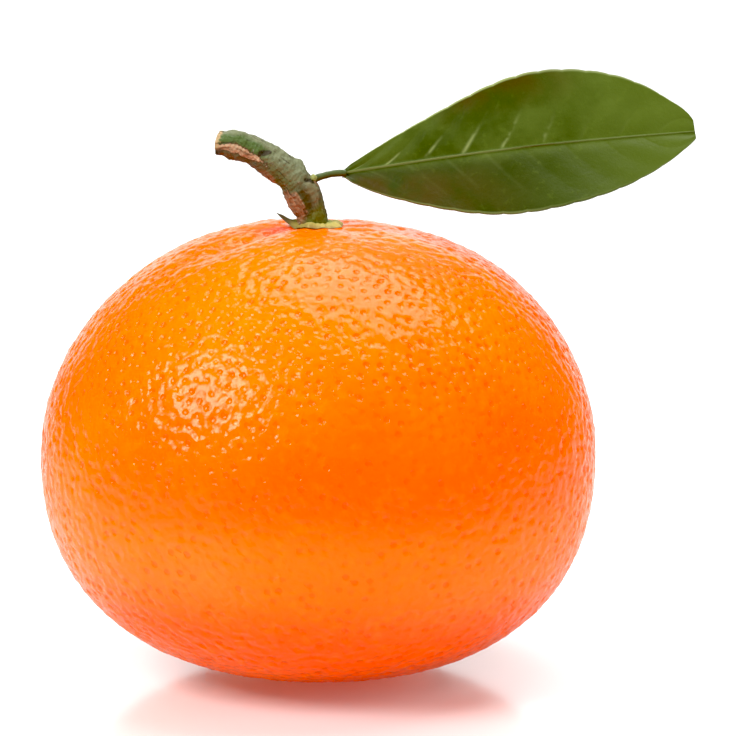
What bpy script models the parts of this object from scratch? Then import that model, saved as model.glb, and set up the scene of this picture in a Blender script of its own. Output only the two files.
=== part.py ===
"""A mandarin orange, picked with its calyx, a cut twig and one leaf.

Metres, +Z up. The origin is the middle of the small flat spot that the fruit
rests on. The twig leans towards -X, and the leaf reaches out along +X.
"""
import math
import random

import bmesh
import bpy
from mathutils import Vector, noise

# Fruit: a squashed round body, flatter above than below, on a small flat spot
FRUIT_RADIUS = 0.0341
CROWN_RISE = 0.0298
BASE_DROP = 0.0276
REST_PRESS = 0.0002
CROWN_FULLNESS = 1.97
BASE_FULLNESS = 2.34
LEAN_BEND = 0.00065
LEAN_TILT = 0.00013
EQUATOR_HEIGHT = BASE_DROP - REST_PRESS

# Crown: the wide hollow, the seat under the calyx and the furrows round it
HOLLOW_DEPTH = 0.0013
HOLLOW_WIDTH = 0.014
HOLLOW_CENTRE = Vector((0.004, 0.0))
SEAT_DEPTH = 0.0008
SEAT_WIDTH = 0.0045
FURROW_COUNT = 9
FURROW_DEPTH = 0.0003
FURROW_REACH = 0.007
CLEFT_DEPTH = 0.0009
CLEFT_REACH = 0.008
CLEFT_HEADING = math.radians(213)
CLEFT_SPREAD = 0.2

# Peel: oil pits of uneven depth, larger than life, each in a ring of about six ridge points
PIT_COUNT = 1150
PIT_DEPTHS = (0.00004, 0.00046)
PIT_WANDER = 0.25
PIT_SEED = 11
PEBBLE_SIZE = 0.005
PEBBLE_RELIEF = 0.00028
SMOOTH_EDGE = 0.0015

# Calyx: a flat green star of five sepals, one of them curled up to a point
CALYX_CENTRE = Vector((-0.0004, 0.0))
CALYX_RADIUS = 0.0033
CALYX_FLESH = 0.00035
SEPAL_COUNT = 5
SEPAL_POINT = 0.13
SEPAL_HEADING = math.radians(186)
CURL_RISE = 0.0010
CURL_REACH = 0.28
CURL_SPREAD = 0.3

# Pieces that touch on the real fruit stand this far apart
JOINT_GAP = 0.0003

# Twig: its centreline from the calyx to the cut end, with the radius at each point
TWIG_LINE = (
    ((-0.0008, -0.0003, 0.0560), 0.0021),
    ((-0.0013, -0.0003, 0.0575), 0.0019),
    ((-0.0017, -0.0003, 0.0588), 0.0020),
    ((-0.0021, -0.0003, 0.0601), 0.0021),
    ((-0.0027, -0.0004, 0.0612), 0.00205),
    ((-0.0036, -0.0006, 0.0621), 0.0019),
    ((-0.0051, -0.0009, 0.0631), 0.00175),
    ((-0.0073, -0.0013, 0.0641), 0.0017),
    ((-0.0096, -0.0017, 0.0650), 0.0017),
    ((-0.0130, -0.0021, 0.0659), 0.0015),
)
BARK_RELIEF = 0.00013
# Its two ends are planes, each by a point and the way it faces: a level foot, a slanting cut
TWIG_ENDS = (
    (Vector((-0.0009, -0.0003, 0.0566)), Vector((0, 0, -1))),
    (Vector((-0.0118, -0.0020, 0.0656)), Vector((-0.88, 0.38, 0.28))),
)
TWIG_SIDES = 16
# Swellings on the twig: the knuckle that bore the leaf, its bud, and a scar
TWIG_SWELLINGS = (
    ("knuckle", (-0.00125, -0.0002, 0.0610), (0.00135, 0.0014, 0.0013)),
    ("side_bud", (-0.00015, -0.0009, 0.0603), (0.0005, 0.00055, 0.0008)),
    ("top_bud", (-0.0020, -0.0001, 0.0623), (0.0008, 0.0009, 0.0008)),
    ("leaf_scar", (-0.0064, -0.0014, 0.0652), (0.0009, 0.0009, 0.0007)),
)

# Petiole: the short stalk between the knuckle and the blade
PETIOLE_LINE = (
    ((0.00032, -0.0001, 0.06152), 0.00044),
    ((0.00095, -0.0001, 0.06183), 0.00036),
    ((0.00185, 0.0000, 0.06196), 0.00038),
    ((0.00302, 0.0000, 0.06190), 0.00048),
)
PETIOLE_SIDES = 10

# Leaf: it springs from its base towards its tip and leans back by its tilt
LEAF_BASE = Vector((0.0031, 0.0, 0.06187))
LEAF_TIP = Vector((0.04634, 0.0040, 0.0665))
LEAF_TILT = math.radians(28)
LEAF_THICKNESS = 0.0006
RIB_THICKNESS = 0.0011
LEAF_NECK = 0.00035
UPPER_WIDTH = 0.0090
UPPER_SWELL = (1.45, 0.68)
LOWER_WIDTH = 0.0083
LOWER_SWELL = (1.02, 0.75)
LEAF_FOLD = math.radians(6)
LEAF_ARCH = 0.0015
VEIN_PAIRS = 9
VEIN_RELIEF = 0.00013
VEIN_SLANT = 1.4
MARGIN_NOTCHES = 15
MARGIN_NOTCH = 0.00013
MARGIN_WAVE = 0.0004
LEAF_CELLS_ALONG = 46
LEAF_CELLS_ACROSS = 14

WELD = 0.000001
SOFT_EDGE = math.radians(50)


def clear_scene():
    for item in list(bpy.data.objects):
        bpy.data.objects.remove(item, do_unlink=True)


def new_collection(name):
    collection = bpy.data.collections.new(name)
    bpy.context.scene.collection.children.link(collection)
    return collection


def surface_finish(name, colour, roughness):
    """A plain material in one colour, given in linear light."""
    finish = bpy.data.materials.new(name)
    finish.use_nodes = True
    shader = finish.node_tree.nodes["Principled BSDF"]
    shader.inputs["Base Color"].default_value = (*colour, 1.0)
    shader.inputs["Roughness"].default_value = roughness
    shader.inputs["Metallic"].default_value = 0.0
    return finish


def place_mesh(name, mesh, finish, collection):
    """One named, smooth-shaded object of the part."""
    mesh.name = name
    mesh.materials.clear()
    mesh.materials.append(finish)
    mesh.shade_smooth()
    mesh.set_sharp_from_angle(angle=SOFT_EDGE)
    item = bpy.data.objects.new(name, mesh)
    collection.objects.link(item)
    return item


def mesh_from(shape, name):
    mesh = bpy.data.meshes.new(name)
    shape.to_mesh(mesh)
    shape.free()
    return mesh


def ease(value):
    """0 below 0, 1 above 1 and a smooth rise between."""
    value = min(max(value, 0.0), 1.0)
    return value * value * (3.0 - 2.0 * value)


def bell(value, width):
    return math.exp(-(value / width) ** 2)


def ring_swell(distance, reach):
    """0 at the middle, 1 at the reach and fading beyond it."""
    ratio = (distance / reach) ** 2
    return ratio * math.exp(1.0 - ratio)


def angle_between(heading, other):
    """The angle from the other heading, between -pi and pi."""
    return math.remainder(heading - other, math.tau)


def crown_drop(x, y):
    """How far the crown lies below the plain round body at x, y."""
    hollow = HOLLOW_DEPTH * bell((Vector((x, y)) - HOLLOW_CENTRE).length, HOLLOW_WIDTH)
    from_calyx = Vector((x, y)) - CALYX_CENTRE
    distance = from_calyx.length
    heading = math.atan2(from_calyx.y, from_calyx.x)
    seat = SEAT_DEPTH * bell(distance, SEAT_WIDTH)
    ripple = 0.5 + 0.5 * math.cos(FURROW_COUNT * heading + 1.0)
    furrows = FURROW_DEPTH * ring_swell(distance, FURROW_REACH) * ripple
    cleft_side = bell(angle_between(heading, CLEFT_HEADING), CLEFT_SPREAD)
    cleft = CLEFT_DEPTH * ring_swell(distance, CLEFT_REACH) * cleft_side
    return hollow + seat + furrows + cleft


def round_body(direction):
    """The plain round body's surface point in a direction from its middle."""
    level = math.hypot(direction.x, direction.y)
    if direction.z > 0:
        height, fullness = CROWN_RISE, CROWN_FULLNESS
    else:
        height, fullness = BASE_DROP, BASE_FULLNESS
    swell = (level / FRUIT_RADIUS) ** fullness + (abs(direction.z) / height) ** fullness
    point = direction * swell ** (-1.0 / fullness)
    point.z += EQUATOR_HEIGHT
    up = point.z / 0.028 - 1.0
    point.x += LEAN_BEND * up * up + LEAN_TILT * up
    return point


def peel_point(direction, pit_depth):
    """A point of the pebbled peel: crown shaped, pits sunk, the underside pressed flat."""
    point = round_body(direction)
    if direction.z > 0:
        from_calyx = (point.xy - CALYX_CENTRE).length
        bare = ease((from_calyx - CALYX_RADIUS - SMOOTH_EDGE) / SMOOTH_EDGE)
        point.z -= crown_drop(point.x, point.y)
    else:
        bare = ease(point.z / SMOOTH_EDGE)
    relief = PEBBLE_RELIEF * noise.noise(point / PEBBLE_SIZE) - pit_depth
    point += direction * relief * bare
    point.z = max(point.z, 0.0)
    return point


def crown_height(x, y):
    """The peel's height near the calyx, where the round body is almost level."""
    level = (math.hypot(x, y) / FRUIT_RADIUS) ** CROWN_FULLNESS
    return EQUATOR_HEIGHT + CROWN_RISE * (1.0 - level) ** (1.0 / CROWN_FULLNESS) - crown_drop(x, y)


def spread_directions(draw):
    """Directions all round, on a golden spiral, each nudged a little."""
    golden_turn = math.pi * (3.0 - math.sqrt(5.0))
    nudge = PIT_WANDER * math.sqrt(4.0 * math.pi / PIT_COUNT)
    for step in range(PIT_COUNT):
        rise = 1.0 - (2.0 * step + 1.0) / PIT_COUNT
        level = math.sqrt(1.0 - rise * rise)
        turn = step * golden_turn
        direction = Vector((level * math.cos(turn), level * math.sin(turn), rise))
        direction += Vector([draw.uniform(-nudge, nudge) for axis in range(3)])
        yield direction.normalized()


def make_fruit(collection):
    """The pits' hull, with a ridge point raised inside every three neighbouring pits."""
    draw = random.Random(PIT_SEED)
    shape = bmesh.new()
    for direction in spread_directions(draw):
        shape.verts.new(direction)
    bmesh.ops.convex_hull(shape, input=shape.verts)
    loose = [vert for vert in shape.verts if not vert.link_faces]
    bmesh.ops.delete(shape, geom=loose, context="VERTS")
    pit_depths = {vert: draw.uniform(*PIT_DEPTHS) for vert in shape.verts}
    across = list(shape.edges)
    bmesh.ops.poke(shape, faces=shape.faces)
    bmesh.ops.rotate_edges(shape, edges=across, use_ccw=False)
    for vert in shape.verts:
        vert.co = peel_point(vert.co.normalized(), pit_depths.get(vert, 0.0))
    bmesh.ops.recalc_face_normals(shape, faces=shape.faces)
    finish = surface_finish("orange_peel", (0.95, 0.17, 0.004), 0.32)
    return place_mesh("fruit", mesh_from(shape, "fruit"), finish, collection)


def calyx_point(direction):
    """A ball's point, flattened into the star that lies on the crown."""
    heading = math.atan2(direction.y, direction.x)
    out = math.hypot(direction.x, direction.y)
    curl = bell(angle_between(heading, SEPAL_HEADING), CURL_SPREAD)
    star = SEPAL_POINT * math.cos(SEPAL_COUNT * (heading - SEPAL_HEADING))
    reach = CALYX_RADIUS * (1.0 + star + CURL_REACH * curl) * out
    x = CALYX_CENTRE.x + reach * math.cos(heading)
    y = CALYX_CENTRE.y + reach * math.sin(heading)
    lift = CURL_RISE * curl * out ** 4
    height = crown_height(x, y) + JOINT_GAP + CALYX_FLESH * (1.0 + direction.z) + lift
    return Vector((x, y, height))


def make_calyx(collection):
    shape = bmesh.new()
    bmesh.ops.create_uvsphere(shape, u_segments=40, v_segments=8, radius=1.0)
    for vert in shape.verts:
        vert.co = calyx_point(vert.co.normalized())
    finish = surface_finish("calyx_green", (0.30, 0.33, 0.07), 0.6)
    return place_mesh("calyx", mesh_from(shape, "calyx"), finish, collection)


def tube_mesh(name, line, sides):
    """A round tube with filled caps, swept along a smooth line of varying radius."""
    curve = bpy.data.curves.new(name, "CURVE")
    curve.dimensions = "3D"
    curve.bevel_depth = 1.0
    curve.bevel_resolution = (sides - 4) // 2
    curve.use_fill_caps = True
    curve.resolution_u = 4
    spline = curve.splines.new("BEZIER")
    spline.bezier_points.add(len(line) - 1)
    for point, (place, radius) in zip(spline.bezier_points, line):
        point.co = place
        point.radius = radius
        point.handle_left_type = "AUTO"
        point.handle_right_type = "AUTO"
    carrier = bpy.data.objects.new(name, curve)
    bpy.context.scene.collection.objects.link(carrier)
    bpy.context.view_layer.update()
    graph = bpy.context.evaluated_depsgraph_get()
    mesh = bpy.data.meshes.new_from_object(carrier.evaluated_get(graph))
    bpy.data.objects.remove(carrier, do_unlink=True)
    return mesh


def bark_relief(place, normal):
    """Lengthwise ridges and shallow rings, by the angle round the bent twig."""
    turn = math.atan2(normal.y, normal.x + normal.z)
    run = (place.z - place.x) * 1000.0
    ridges = 0.6 * math.sin(4.0 * turn + 0.35 * run) + 0.4 * math.sin(7.0 * turn - 0.5 * run)
    rings = 0.5 * math.sin(2.1 * run)
    return BARK_RELIEF * (ridges + rings)


def make_twig(collection, joined):
    """The bent twig with bark relief, its end cut off aslant, its swellings joined on."""
    mesh = tube_mesh("stem", TWIG_LINE, TWIG_SIDES)
    shape = bmesh.new()
    shape.from_mesh(mesh)
    bmesh.ops.remove_doubles(shape, verts=shape.verts, dist=WELD)
    shape.normal_update()
    moves = [vert.normal * bark_relief(vert.co, vert.normal) for vert in shape.verts]
    for vert, move in zip(shape.verts, moves):
        vert.co += move
    for place, facing in TWIG_ENDS:
        everything = shape.verts[:] + shape.edges[:] + shape.faces[:]
        bmesh.ops.bisect_plane(shape, geom=everything, plane_co=place, plane_no=facing, clear_outer=True)
        open_edges = [edge for edge in shape.edges if edge.is_boundary]
        bmesh.ops.contextual_create(shape, geom=open_edges)
    bmesh.ops.recalc_face_normals(shape, faces=shape.faces)
    shape.to_mesh(mesh)
    shape.free()
    finish = surface_finish("green_bark", (0.15, 0.19, 0.08), 0.7)
    twig = place_mesh("stem", mesh, finish, collection)
    for name, centre, radii in TWIG_SWELLINGS:
        swelling = bmesh.new()
        bmesh.ops.create_icosphere(swelling, subdivisions=2, radius=1.0)
        bmesh.ops.scale(swelling, vec=radii, verts=swelling.verts)
        bmesh.ops.translate(swelling, vec=centre, verts=swelling.verts)
        piece = place_mesh(name, mesh_from(swelling, name), finish, joined)
        piece.hide_render = True
        piece.display_type = "WIRE"
    union = twig.modifiers.new("swellings", "BOOLEAN")
    union.operation = "UNION"
    union.operand_type = "COLLECTION"
    union.collection = joined
    union.solver = "EXACT"
    return twig


def make_petiole(collection):
    mesh = tube_mesh("petiole", PETIOLE_LINE, PETIOLE_SIDES)
    shape = bmesh.new()
    shape.from_mesh(mesh)
    bmesh.ops.remove_doubles(shape, verts=shape.verts, dist=WELD)
    shape.to_mesh(mesh)
    shape.free()
    finish = surface_finish("petiole_green", (0.17, 0.24, 0.04), 0.5)
    return place_mesh("petiole", mesh, finish, collection)


def leaf_half_width(along, side):
    """The blade's width on one side of its midrib, with the notches of its margin."""
    width, (lead, fullness) = (UPPER_WIDTH, UPPER_SWELL) if side > 0 else (LOWER_WIDTH, LOWER_SWELL)
    swell = math.sin(math.pi * along ** lead) ** fullness
    notch = MARGIN_NOTCH * math.cos(math.tau * MARGIN_NOTCHES * along + side) * swell
    return LEAF_NECK + width * swell + notch


def leaf_point(along, side, axes):
    """A point of the blade's upper face, side running from -1 to 1 across it."""
    onward, upward, outward = axes
    reach = abs(side)
    half = leaf_half_width(along, side) * reach
    across = math.copysign(half * math.cos(LEAF_FOLD), side)
    arch = LEAF_ARCH * math.sin(math.pi * along)
    wave = MARGIN_WAVE * reach ** 2 * math.sin(math.tau * 2.2 * along + side)
    between_veins = math.cos(math.tau * (VEIN_PAIRS * along - VEIN_SLANT * reach))
    pillow = VEIN_RELIEF * between_veins * ease(4.0 * reach) * (1.0 - reach ** 4)
    lift = half * math.sin(LEAF_FOLD) + arch + wave * math.sin(math.pi * along) + pillow
    run = (LEAF_TIP - LEAF_BASE).length * along
    return LEAF_BASE + onward * run + upward * across + outward * lift


def leaf_axes():
    """Along the leaf, across it to its upper edge, and out of its upper face."""
    onward = (LEAF_TIP - LEAF_BASE).normalized()
    level = onward.cross(Vector((0, 0, 1))).normalized()
    upright = level.cross(onward)
    upward = upright * math.cos(LEAF_TILT) - level * math.sin(LEAF_TILT)
    return onward, upward, onward.cross(upward)


def make_leaf(collection):
    """A folded, arched sheet with Solidify, thickest along the midrib."""
    axes = leaf_axes()
    shape = bmesh.new()
    bmesh.ops.create_grid(shape, x_segments=LEAF_CELLS_ALONG, y_segments=LEAF_CELLS_ACROSS, size=1.0)
    bmesh.ops.triangulate(shape, faces=shape.faces)
    weights = []
    for vert in shape.verts:
        even = 0.5 + 0.5 * vert.co.x
        along = 0.008 + 0.989 * (0.5 * even + 0.5 * ease(even))
        side = vert.co.y
        rib = bell(side, 0.1) * (1.0 - 0.5 * along)
        weights.append((LEAF_THICKNESS + (RIB_THICKNESS - LEAF_THICKNESS) * rib) / RIB_THICKNESS)
        vert.co = leaf_point(along, side, axes)
    finish = surface_finish("leaf_green", (0.055, 0.125, 0.012), 0.38)
    leaf = place_mesh("leaf", mesh_from(shape, "leaf"), finish, collection)
    thickness = leaf.vertex_groups.new(name="thickness")
    for index, weight in enumerate(weights):
        thickness.add([index], weight, "REPLACE")
    solid = leaf.modifiers.new("thickness", "SOLIDIFY")
    solid.thickness = RIB_THICKNESS
    solid.offset = -1.0
    solid.vertex_group = "thickness"
    return leaf


clear_scene()
orange = new_collection("mandarin_orange")
swellings = new_collection("twig_swellings")
make_fruit(orange)
make_calyx(orange)
make_twig(orange, swellings)
make_petiole(orange)
make_leaf(orange)
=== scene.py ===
"""A mandarin orange with its calyx, a cut twig and one leaf, on a pale glossy table."""

import math

import bmesh
import bpy
import numpy as np
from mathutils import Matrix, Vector


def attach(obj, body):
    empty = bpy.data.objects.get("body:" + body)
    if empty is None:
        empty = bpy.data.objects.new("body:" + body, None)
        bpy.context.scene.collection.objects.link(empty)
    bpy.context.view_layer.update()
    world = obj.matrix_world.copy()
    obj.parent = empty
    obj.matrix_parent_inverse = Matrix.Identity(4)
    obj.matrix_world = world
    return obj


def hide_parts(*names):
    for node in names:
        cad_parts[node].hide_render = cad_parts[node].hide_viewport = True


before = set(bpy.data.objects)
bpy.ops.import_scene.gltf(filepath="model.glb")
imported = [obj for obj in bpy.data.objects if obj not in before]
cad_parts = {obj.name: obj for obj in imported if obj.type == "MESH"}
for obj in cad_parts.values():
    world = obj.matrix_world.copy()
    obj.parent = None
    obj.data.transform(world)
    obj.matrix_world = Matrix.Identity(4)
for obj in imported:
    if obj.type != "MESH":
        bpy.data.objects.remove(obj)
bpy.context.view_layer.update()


# The whole fruit: a squashed round body of waxy peel, a little hollow and furrowed
# round the calyx, pressed flat where it rests. Oil glands sink small pits all over
# it, and the peel between them is gently pebbled. It is one grown piece.
FRUIT_RADIUS = 0.0341
CROWN_RISE = 0.0298
BASE_DROP = 0.0276
REST_PRESS = 0.0002
CROWN_FULLNESS = 1.97
BASE_FULLNESS = 2.34
LEAN_BEND = 0.00065
LEAN_TILT = 0.00013
EQUATOR_HEIGHT = BASE_DROP - REST_PRESS
HOLLOW_DEPTH = 0.0013
HOLLOW_WIDTH = 0.014
HOLLOW_X = 0.004
SEAT_DEPTH = 0.0008
SEAT_WIDTH = 0.0045
FURROW_COUNT = 9
FURROW_DEPTH = 0.0003
FURROW_REACH = 0.007
CLEFT_DEPTH = 0.0015
CLEFT_REACH = 0.0088
CLEFT_HEADING = math.radians(213)
CLEFT_SPREAD = 0.2
FOLD_TURN = 0.22
FOLD_SPREAD = 0.26
FOLD_REACH = 0.0046
BASE_ROUNDING = 0.0005
BASE_REACH = 0.009
SCAR_DEPTH = 0.00012
SCAR_RADIUS = 0.0011
CALYX_X = -0.0004
CALYX_RADIUS = 0.0033
PEEL_CELLS = 127
SMOOTH_EDGE = 0.0012
GLAND_SPACING = 0.00122
GLAND_SEED = 5
PIT_DEPTH = 0.00014
PIT_WIDTH = 0.00048
PIT_SHARES = (0.2, 1.4)
# More glands to a square metre than the spacing lets in
MOST_GLANDS = 3.0e6
PORE_RADIUS = 0.00043
DIMPLE_RADIUS = 0.00050
PEBBLE_SIZE = 0.00130
PEBBLE_RISE = 0.00042
SKIN_RELIEF = 0.00009
# Colours, here and below, are in linear light
PEEL_CLOUDS = ((0.93, 0.162, 0.0022), (0.92, 0.130, 0.0016))
# Painted shade: the front, lower face of the peel is a redder, darker orange
SHADED_FRONT_WAY = (0.15, -0.90, -0.42)
SHADED_FRONT_ORANGE = (0.91, 0.090, 0.0010)
# Painted bounce light: a yellower band low round the peel, where light comes up from the table
BOUNCE_LIGHT_ORANGE = (0.93, 0.165, 0.0040)
FRECKLE_ORANGE = (0.95, 0.205, 0.0030)
PORE_ORANGE = (0.78, 0.062, 0.0008)
# Painted shade on the far wall of the fold beside the calyx
FOLD_SHADE_ORANGE = (0.70, 0.085, 0.026)
SCAR_BROWN = (0.26, 0.13, 0.045)
# Heights over which the low band of painted bounce light comes and goes, dimples deepen, the crown calms,
# gloss grows
BOUNCE_LIGHT_FOOT = (0.009, 0.017)
BOUNCE_LIGHT_TOP = (0.028, 0.020)
DIMPLED_FROM = (0.028, 0.046)
CALM_FROM = (0.0495, 0.0545)
GLOSSY_FROM = (0.006, 0.013)


def ease(value):
    """0 below 0, 1 above 1 and a smooth rise between."""
    value = np.clip(value, 0.0, 1.0)
    return value * value * (3.0 - 2.0 * value)


def bell(value, width):
    return np.exp(-(value / width) ** 2)


def angle_between(heading, other):
    """The angle from the other heading, between -pi and pi."""
    return (heading - other + np.pi) % (2.0 * np.pi) - np.pi


def ring_swell(distance, reach):
    """0 at the middle, 1 at the reach and fading beyond it."""
    ratio = (distance / reach) ** 2
    return ratio * np.exp(1.0 - ratio)


def crown_drop(x, y):
    """How far the crown lies below the plain round body at x, y."""
    hollow = HOLLOW_DEPTH * bell(np.hypot(x - HOLLOW_X, y), HOLLOW_WIDTH)
    distance = np.hypot(x - CALYX_X, y)
    heading = np.arctan2(y, x - CALYX_X)
    seat = SEAT_DEPTH * bell(distance, SEAT_WIDTH)
    ripple = 0.5 + 0.5 * np.cos(FURROW_COUNT * heading + 1.0)
    furrows = FURROW_DEPTH * ring_swell(distance, FURROW_REACH) * ripple
    cleft_side = bell(angle_between(heading, CLEFT_HEADING), CLEFT_SPREAD)
    cleft = CLEFT_DEPTH * ring_swell(distance, CLEFT_REACH) * cleft_side
    return hollow + seat + furrows + cleft


def fold_shade(x, y):
    """Painted shade: 1 on the far wall of the deep fold beside the calyx, fading to 0 round it."""
    heading = angle_between(np.arctan2(y, x - CALYX_X), CLEFT_HEADING - FOLD_TURN)
    return bell(heading, FOLD_SPREAD) * ring_swell(np.hypot(x - CALYX_X, y), FOLD_REACH)


def round_body(direction):
    """The plain round body's surface points in directions from its middle."""
    level = np.hypot(direction[:, 0], direction[:, 1])
    rise = direction[:, 2]
    height = np.where(rise > 0, CROWN_RISE, BASE_DROP)
    fullness = np.where(rise > 0, CROWN_FULLNESS, BASE_FULLNESS)
    swell = (level / FRUIT_RADIUS) ** fullness + (np.abs(rise) / height) ** fullness
    points = direction * (swell ** (-1.0 / fullness))[:, None]
    points[:, 2] += EQUATOR_HEIGHT
    up = points[:, 2] / 0.028 - 1.0
    points[:, 0] += LEAN_BEND * up * up + LEAN_TILT * up
    return points


def crown_height(x, y):
    """The peel's height near the calyx, where the round body is almost level."""
    level = (np.hypot(x, y) / FRUIT_RADIUS) ** CROWN_FULLNESS
    return EQUATOR_HEIGHT + CROWN_RISE * (1.0 - level) ** (1.0 / CROWN_FULLNESS) - crown_drop(x, y)


def mesh_points(mesh):
    places = np.empty(len(mesh.vertices) * 3)
    mesh.vertices.foreach_get("co", places)
    return places.reshape(-1, 3)


def mesh_normals(mesh):
    normals = np.empty(len(mesh.vertices) * 3)
    mesh.vertex_normals.foreach_get("vector", normals)
    return normals.reshape(-1, 3)


def move_points(mesh, points):
    mesh.vertices.foreach_set("co", np.ascontiguousarray(points, dtype=np.float32).ravel())
    mesh.update()


def note_points(mesh, name, values):
    """Store one number at each vertex under a name that the material reads."""
    note = mesh.attributes.new(name, "FLOAT", "POINT")
    note.data.foreach_set("value", np.ascontiguousarray(values, dtype=np.float32).ravel())


def show(name, data):
    """A new object of this name in the scene, from a mesh, a curve, a light or a camera."""
    item = bpy.data.objects.new(name, data)
    bpy.context.scene.collection.objects.link(item)
    return item


def keep_shape(shape, name):
    mesh = bpy.data.meshes.new(name)
    shape.to_mesh(mesh)
    shape.free()
    return mesh


def settled_mesh(item):
    """The object's shape with its modifiers, as a plain mesh of its own."""
    bpy.context.view_layer.update()
    graph = bpy.context.evaluated_depsgraph_get()
    return bpy.data.meshes.new_from_object(item.evaluated_get(graph), depsgraph=graph)


def ball_of_squares(name, cells):
    """A cube cut into even cells and blown up to a unit ball."""
    shape = bmesh.new()
    bmesh.ops.create_cube(shape, size=2.0)
    bmesh.ops.subdivide_edges(shape, edges=shape.edges, cuts=cells - 1, use_grid_fill=True)
    mesh = keep_shape(shape, name)
    corners = np.tan(mesh_points(mesh) * np.pi / 4.0)
    return mesh, corners / np.linalg.norm(corners, axis=1)[:, None]


def add_node(tree, kind, **settings):
    node = tree.nodes.new(kind)
    for name, value in settings.items():
        setattr(node, name, value)
    return node


def feed(tree, socket, value):
    """Link a socket's output, or set a plain value."""
    if isinstance(value, bpy.types.NodeSocket):
        tree.links.new(value, socket)
    else:
        socket.default_value = value


def fed_node(tree, kind, inputs, **settings):
    """A node whose inputs of these names are linked or set."""
    node = add_node(tree, kind, **settings)
    for name, value in inputs.items():
        feed(tree, node.inputs[name], value)
    return node


def maths(tree, operation, *values):
    node = add_node(tree, "ShaderNodeMath", operation=operation)
    for socket, value in zip(node.inputs, values):
        feed(tree, socket, value)
    return node.outputs[0]


def times(tree, first, second):
    return maths(tree, "MULTIPLY", first, second)


def vector_maths(tree, operation, first, second, output="Vector"):
    node = add_node(tree, "ShaderNodeVectorMath", operation=operation)
    feed(tree, node.inputs[0], first)
    feed(tree, node.inputs["Scale"] if operation == "SCALE" else node.inputs[1], second)
    return node.outputs[output]


def gap_between(tree, first, second):
    return vector_maths(tree, "DISTANCE", first, second, "Value")


def measure_along(tree, place, way):
    return vector_maths(tree, "DOT_PRODUCT", place, way, "Value")


def fade(tree, value, start, end, low=0.0, high=1.0):
    """A smooth change from low to high as the value goes from start to end."""
    node = fed_node(tree, "ShaderNodeMapRange", {
        "Value": value, "From Min": start, "From Max": end, "To Min": low, "To Max": high},
        interpolation_type="SMOOTHSTEP")
    return node.outputs["Result"]


def speckle(tree, place, size, detail=2.0, roughness=0.5):
    """Cloudy noise, from 0 to 1, whose blots are about this size."""
    node = fed_node(tree, "ShaderNodeTexNoise", {
        "Vector": place, "Scale": 1.0 / size, "Detail": detail, "Roughness": roughness})
    return node.outputs[0]


def new_growth(name, sizes):
    """A Geometry Nodes tree with a geometry input, named inputs for sizes, and an output."""
    tree = bpy.data.node_groups.new(name, "GeometryNodeTree")
    tree.interface.new_socket(name="Geometry", in_out="INPUT", socket_type="NodeSocketGeometry")
    for size, kind in sizes:
        tree.interface.new_socket(name=size, in_out="INPUT", socket_type=kind)
    tree.interface.new_socket(name="Geometry", in_out="OUTPUT", socket_type="NodeSocketGeometry")
    start = add_node(tree, "NodeGroupInput")
    end = add_node(tree, "NodeGroupOutput")
    return tree, start.outputs, end.inputs["Geometry"]


def grow(item, tree, values):
    """Run a tree on an object and keep the result as its plain mesh."""
    modifier = item.modifiers.new(tree.name, "NODES")
    modifier.node_group = tree
    for socket in tree.interface.items_tree:
        if socket.in_out == "INPUT" and socket.name in values:
            modifier[socket.identifier] = values[socket.name]
    mesh = settled_mesh(item)
    item.modifiers.clear()
    mesh.name = item.name
    return mesh


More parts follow.
